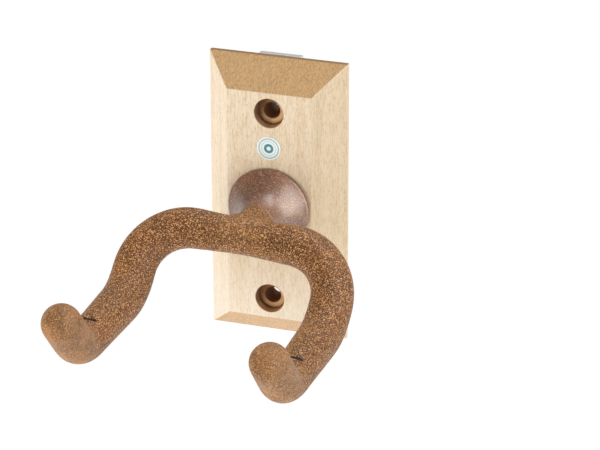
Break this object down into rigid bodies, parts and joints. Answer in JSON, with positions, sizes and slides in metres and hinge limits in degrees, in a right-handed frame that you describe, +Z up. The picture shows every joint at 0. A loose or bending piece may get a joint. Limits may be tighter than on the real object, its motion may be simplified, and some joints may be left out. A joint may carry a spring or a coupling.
{
  "type": "wall guitar hanger",
  "caption": "Wall-mounted guitar hanger: a bevelled wood block with a padded, upturned fork that swivels about a level axle to cradle a headstock.",
  "frame": {"origin": "the point where the swivel axis meets the wall, on the back face of the steel strap", "axes": "+Z up, +Y into the wall, so the fork stands out towards -Y; +X to the right for a viewer who faces the wall"},
  "size_m": [0.09, 0.1304, 0.109],
  "materials": {
    "maple": "smooth, thin clear lacquer",
    "zinc_steel": "bright zinc plate",
    "screw_steel": "zinc plate",
    "bronze": "plain turned",
    "nylon": "moulded",
    "badge_foil": "satin foil under clear film",
    "collar_rubber": "fine-grained cork and rubber",
    "cork_rubber": "speckled cork and rubber",
    "raw_steel": "drawn bar",
    "weld_steel": "as welded",
    "spring_steel": "hardened",
    "ring_nylon": "moulded"
  },
  "bodies": {
    "wall_plate": {"wood_block": "maple", "back_strap": "zinc_steel", "strap_screws": "screw_steel", "axle_bush": "bronze", "slide_disc": "nylon", "badge": "badge_foil"},
    "fork": {"collar": "collar_rubber", "fork_cover": "cork_rubber", "fork_rod": "raw_steel", "swivel_axle": "raw_steel", "weld_bead": "weld_steel", "spring_washer": "spring_steel", "flat_washer": "zinc_steel", "lock_nut": "zinc_steel", "lock_ring": "ring_nylon"}
  },
  "joints": [
    {"name": "fork_swivel", "type": "hinge", "parent": "wall_plate", "child": "fork", "pos_m": [0, -0.0433, 0], "axis": [0, 1, 0], "continuous": true}
  ]
}
